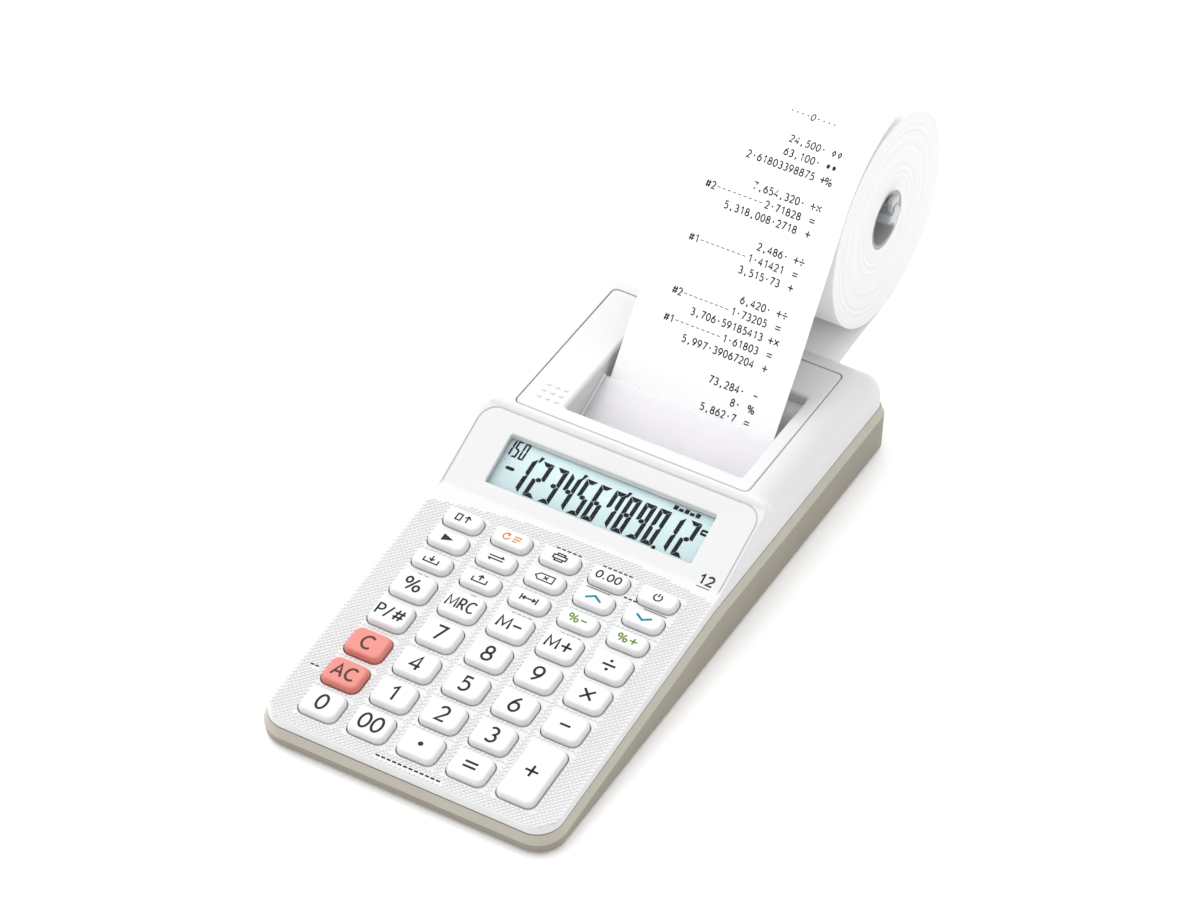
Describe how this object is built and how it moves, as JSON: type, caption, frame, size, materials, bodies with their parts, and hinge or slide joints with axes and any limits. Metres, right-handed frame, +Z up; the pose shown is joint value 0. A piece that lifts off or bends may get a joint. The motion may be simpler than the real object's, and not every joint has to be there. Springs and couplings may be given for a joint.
{
  "type": "desk calculator",
  "caption": "Printing desk calculator: sloped keyboard, framed display, lift-up printer cover with paper cutter, and a paper roll on a holder behind the case.",
  "frame": {"origin": "centre of the bounding box's bottom face, in the plane of the feet", "axes": "+X to the user's right, +Y from the keyboard's front edge back to the paper roll, +Z up"},
  "size_m": [0.102, 0.2714, 0.1051],
  "materials": {
    "white_plastic": "fine satin, textured round the keys",
    "beige_plastic": "satin",
    "key_white": "satin with printed legends",
    "key_salmon": "satin with printed legends",
    "clear_plastic": "clear, polished",
    "lcd_glass": "pale blue-green reflective display",
    "lilac_plastic": "translucent",
    "silicone_rubber": "matt",
    "circuit_board": "solder-mask lacquer",
    "steel": "plated",
    "black_plastic": "satin",
    "nylon": "moulded",
    "ink_foam": "ink-soaked foam",
    "paper": "uncoated white",
    "grey_plastic": "glossy",
    "battery_sleeve": "printed sleeve"
  },
  "bodies": {
    "case": {"lower_case": "beige_plastic", "top_case": "white_plastic", "display_window": "clear_plastic", "lcd_panel": "lcd_glass", "key_mat": "silicone_rubber", "circuit_board": "circuit_board", "printer_frame": "steel", "printer_motor": "steel", "battery_set": "battery_sleeve", "power_jack": "black_plastic", "paper_strip": "paper"},
    "cover": {"printer_cover": "white_plastic", "paper_cutter": "lilac_plastic"},
    "battery_door": {"battery_cover": "beige_plastic"},
    "platen": {"platen_roller": "black_plastic"},
    "pinion": {"drive_gear": "nylon"},
    "carriage": {"print_carriage": "black_plastic"},
    "drum": {"type_drum": "black_plastic"},
    "inker": {"ink_roller": "ink_foam"},
    "holder": {"roll_holder": "grey_plastic"},
    "roll": {"paper_roll": "paper"},
    "feed_key_cap": {"feed_key": "key_white"},
    "reprint_key_cap": {"reprint_key": "key_white"},
    "print_mode_key_cap": {"print_mode_key": "key_white"},
    "decimal_key_cap": {"decimal_key": "key_white"},
    "off_key_cap": {"off_key": "key_white"},
    "backspace_key_cap": {"backspace_key": "key_white"},
    "exchange_key_cap": {"exchange_key": "key_white"},
    "correct_key_cap": {"correct_key": "key_white"},
    "up_key_cap": {"up_key": "key_white"},
    "down_key_cap": {"down_key": "key_white"},
    "cost_key_cap": {"cost_key": "key_white"},
    "sell_key_cap": {"sell_key": "key_white"},
    "margin_key_cap": {"margin_key": "key_white"},
    "tax_minus_key_cap": {"tax_minus_key": "key_white"},
    "tax_plus_key_cap": {"tax_plus_key": "key_white"},
    "percent_key_cap": {"percent_key": "key_white"},
    "memory_recall_key_cap": {"memory_recall_key": "key_white"},
    "memory_minus_key_cap": {"memory_minus_key": "key_white"},
    "memory_plus_key_cap": {"memory_plus_key": "key_white"},
    "divide_key_cap": {"divide_key": "key_white"},
    "paper_mark_key_cap": {"paper_mark_key": "key_white"},
    "key_7_cap": {"key_7": "key_white"},
    "key_8_cap": {"key_8": "key_white"},
    "key_9_cap": {"key_9": "key_white"},
    "multiply_key_cap": {"multiply_key": "key_white"},
    "clear_key_cap": {"clear_key": "key_salmon"},
    "key_4_cap": {"key_4": "key_white"},
    "key_5_cap": {"key_5": "key_white"},
    "key_6_cap": {"key_6": "key_white"},
    "minus_key_cap": {"minus_key": "key_white"},
    "all_clear_key_cap": {"all_clear_key": "key_salmon"},
    "key_1_cap": {"key_1": "key_white"},
    "key_2_cap": {"key_2": "key_white"},
    "key_3_cap": {"key_3": "key_white"},
    "key_0_cap": {"key_0": "key_white"},
    "key_00_cap": {"key_00": "key_white"},
    "point_key_cap": {"point_key": "key_white"},
    "equals_key_cap": {"equals_key": "key_white"},
    "plus_key_cap": {"plus_key": "key_white"}
  },
  "joints": [
    {"name": "feed_key_press", "type": "slide", "parent": "case", "child": "feed_key_cap", "axis": [0, 0.1099, -0.9939], "range_m": [0, 0.0013], "stiffness_N_per_m": 400},
    {"name": "reprint_key_press", "type": "slide", "parent": "case", "child": "reprint_key_cap", "axis": [0, 0.1099, -0.9939], "range_m": [0, 0.0013], "stiffness_N_per_m": 400},
    {"name": "print_mode_key_press", "type": "slide", "parent": "case", "child": "print_mode_key_cap", "axis": [0, 0.1099, -0.9939], "range_m": [0, 0.0013], "stiffness_N_per_m": 400},
    {"name": "decimal_key_press", "type": "slide", "parent": "case", "child": "decimal_key_cap", "axis": [0, 0.1099, -0.9939], "range_m": [0, 0.0013], "stiffness_N_per_m": 400},
    {"name": "off_key_press", "type": "slide", "parent": "case", "child": "off_key_cap", "axis": [0, 0.1099, -0.9939], "range_m": [0, 0.0013], "stiffness_N_per_m": 400},
    {"name": "backspace_key_press", "type": "slide", "parent": "case", "child": "backspace_key_cap", "axis": [0, 0.1099, -0.9939], "range_m": [0, 0.0013], "stiffness_N_per_m": 400},
    {"name": "exchange_key_press", "type": "slide", "parent": "case", "child": "exchange_key_cap", "axis": [0, 0.1099, -0.9939], "range_m": [0, 0.0013], "stiffness_N_per_m": 400},
    {"name": "correct_key_press", "type": "slide", "parent": "case", "child": "correct_key_cap", "axis": [0, 0.1099, -0.9939], "range_m": [0, 0.0013], "stiffness_N_per_m": 400},
    {"name": "up_key_press", "type": "slide", "parent": "case", "child": "up_key_cap", "axis": [0, 0.1099, -0.9939], "range_m": [0, 0.0013], "stiffness_N_per_m": 400},
    {"name": "down_key_press", "type": "slide", "parent": "case", "child": "down_key_cap", "axis": [0, 0.1099, -0.9939], "range_m": [0, 0.0013], "stiffness_N_per_m": 400},
    {"name": "cost_key_press", "type": "slide", "parent": "case", "child": "cost_key_cap", "axis": [0, 0.1099, -0.9939], "range_m": [0, 0.0013], "stiffness_N_per_m": 400},
    {"name": "sell_key_press", "type": "slide", "parent": "case", "child": "sell_key_cap", "axis": [0, 0.1099, -0.9939], "range_m": [0, 0.0013], "stiffness_N_per_m": 400},
    {"name": "margin_key_press", "type": "slide", "parent": "case", "child": "margin_key_cap", "axis": [0, 0.1099, -0.9939], "range_m": [0, 0.0013], "stiffness_N_per_m": 400},
    {"name": "tax_minus_key_press", "type": "slide", "parent": "case", "child": "tax_minus_key_cap", "axis": [0, 0.1099, -0.9939], "range_m": [0, 0.0013], "stiffness_N_per_m": 400},
    {"name": "tax_plus_key_press", "type": "slide", "parent": "case", "child": "tax_plus_key_cap", "axis": [0, 0.1099, -0.9939], "range_m": [0, 0.0013], "stiffness_N_per_m": 400},
    {"name": "percent_key_press", "type": "slide", "parent": "case", "child": "percent_key_cap", "axis": [0, 0.1099, -0.9939], "range_m": [0, 0.0013], "stiffness_N_per_m": 400},
    {"name": "memory_recall_key_press", "type": "slide", "parent": "case", "child": "memory_recall_key_cap", "axis": [0, 0.1099, -0.9939], "range_m": [0, 0.0013], "stiffness_N_per_m": 400},
    {"name": "memory_minus_key_press", "type": "slide", "parent": "case", "child": "memory_minus_key_cap", "axis": [0, 0.1099, -0.9939], "range_m": [0, 0.0013], "stiffness_N_per_m": 400},
    {"name": "memory_plus_key_press", "type": "slide", "parent": "case", "child": "memory_plus_key_cap", "axis": [0, 0.1099, -0.9939], "range_m": [0, 0.0013], "stiffness_N_per_m": 400},
    {"name": "divide_key_press", "type": "slide", "parent": "case", "child": "divide_key_cap", "axis": [0, 0.1099, -0.9939], "range_m": [0, 0.0013], "stiffness_N_per_m": 400},
    {"name": "paper_mark_key_press", "type": "slide", "parent": "case", "child": "paper_mark_key_cap", "axis": [0, 0.1099, -0.9939], "range_m": [0, 0.0013], "stiffness_N_per_m": 400},
    {"name": "key_7_press", "type": "slide", "parent": "case", "child": "key_7_cap", "axis": [0, 0.1099, -0.9939], "range_m": [0, 0.0013], "stiffness_N_per_m": 400},
    {"name": "key_8_press", "type": "slide", "parent": "case", "child": "key_8_cap", "axis": [0, 0.1099, -0.9939], "range_m": [0, 0.0013], "stiffness_N_per_m": 400},
    {"name": "key_9_press", "type": "slide", "parent": "case", "child": "key_9_cap", "axis": [0, 0.1099, -0.9939], "range_m": [0, 0.0013], "stiffness_N_per_m": 400},
    {"name": "multiply_key_press", "type": "slide", "parent": "case", "child": "multiply_key_cap", "axis": [0, 0.1099, -0.9939], "range_m": [0, 0.0013], "stiffness_N_per_m": 400},
    {"name": "clear_key_press", "type": "slide", "parent": "case", "child": "clear_key_cap", "axis": [0, 0.1099, -0.9939], "range_m": [0, 0.0013], "stiffness_N_per_m": 400},
    {"name": "key_4_press", "type": "slide", "parent": "case", "child": "key_4_cap", "axis": [0, 0.1099, -0.9939], "range_m": [0, 0.0013], "stiffness_N_per_m": 400},
    {"name": "key_5_press", "type": "slide", "parent": "case", "child": "key_5_cap", "axis": [0, 0.1099, -0.9939], "range_m": [0, 0.0013], "stiffness_N_per_m": 400},
    {"name": "key_6_press", "type": "slide", "parent": "case", "child": "key_6_cap", "axis": [0, 0.1099, -0.9939], "range_m": [0, 0.0013], "stiffness_N_per_m": 400},
    {"name": "minus_key_press", "type": "slide", "parent": "case", "child": "minus_key_cap", "axis": [0, 0.1099, -0.9939], "range_m": [0, 0.0013], "stiffness_N_per_m": 400},
    {"name": "all_clear_key_press", "type": "slide", "parent": "case", "child": "all_clear_key_cap", "axis": [0, 0.1099, -0.9939], "range_m": [0, 0.0013], "stiffness_N_per_m": 400},
    {"name": "key_1_press", "type": "slide", "parent": "case", "child": "key_1_cap", "axis": [0, 0.1099, -0.9939], "range_m": [0, 0.0013], "stiffness_N_per_m": 400},
    {"name": "key_2_press", "type": "slide", "parent": "case", "child": "key_2_cap", "axis": [0, 0.1099, -0.9939], "range_m": [0, 0.0013], "stiffness_N_per_m": 400},
    {"name": "key_3_press", "type": "slide", "parent": "case", "child": "key_3_cap", "axis": [0, 0.1099, -0.9939], "range_m": [0, 0.0013], "stiffness_N_per_m": 400},
    {"name": "key_0_press", "type": "slide", "parent": "case", "child": "key_0_cap", "axis": [0, 0.1099, -0.9939], "range_m": [0, 0.0013], "stiffness_N_per_m": 400},
    {"name": "key_00_press", "type": "slide", "parent": "case", "child": "key_00_cap", "axis": [0, 0.1099, -0.9939], "range_m": [0, 0.0013], "stiffness_N_per_m": 400},
    {"name": "point_key_press", "type": "slide", "parent": "case", "child": "point_key_cap", "axis": [0, 0.1099, -0.9939], "range_m": [0, 0.0013], "stiffness_N_per_m": 400},
    {"name": "equals_key_press", "type": "slide", "parent": "case", "child": "equals_key_cap", "axis": [0, 0.1099, -0.9939], "range_m": [0, 0.0013], "stiffness_N_per_m": 400},
    {"name": "plus_key_press", "type": "slide", "parent": "case", "child": "plus_key_cap", "axis": [0, 0.1099, -0.9939], "range_m": [0, 0.0013], "stiffness_N_per_m": 400},
    {"name": "cover_lift", "type": "hinge", "parent": "case", "child": "cover", "pos_m": [0, 0.06015, 0.0339], "axis": [-1, 0, 0], "range_deg": [0, 55]},
    {"name": "battery_door_open", "type": "hinge", "parent": "case", "child": "battery_door", "pos_m": [0, 0.01525, 0.001], "axis": [1, 0, 0], "range_deg": [0, 90]},
    {"name": "roll_turn", "type": "hinge", "parent": "holder", "child": "roll", "pos_m": [0, 0.09985, 0.0653], "axis": [1, 0, 0], "continuous": true},
    {"name": "platen_turn", "type": "hinge", "parent": "case", "child": "platen", "pos_m": [0, 0.02905, 0.017], "axis": [1, 0, 0], "continuous": true},
    {"name": "pinion_turn", "type": "hinge", "parent": "case", "child": "pinion", "pos_m": [0, 0.04725, 0.0118], "axis": [1, 0, 0], "continuous": true},
    {"name": "carriage_slide", "type": "slide", "parent": "case", "child": "carriage", "axis": [1, 0, 0], "range_m": [-0.003, 0.045]},
    {"name": "drum_turn", "type": "hinge", "parent": "carriage", "child": "drum", "pos_m": [-0.016, 0.01855, 0.0176], "axis": [1, 0, 0], "continuous": true},
    {"name": "inker_turn", "type": "hinge", "parent": "carriage", "child": "inker", "pos_m": [-0.016, 0.01665, 0.0118], "axis": [1, 0, 0], "continuous": true},
    {"name": "holder_pull_out", "type": "slide", "parent": "case", "child": "holder", "axis": [0, 1, 0], "range_m": [0, 0.01]}
  ],
  "couplings": [
    {"joint": "platen_turn", "follows": "roll_turn", "ratio": 6.5273},
    {"joint": "pinion_turn", "follows": "roll_turn", "ratio": -11.046},
    {"joint": "inker_turn", "follows": "drum_turn", "ratio": -1.85}
  ]
}
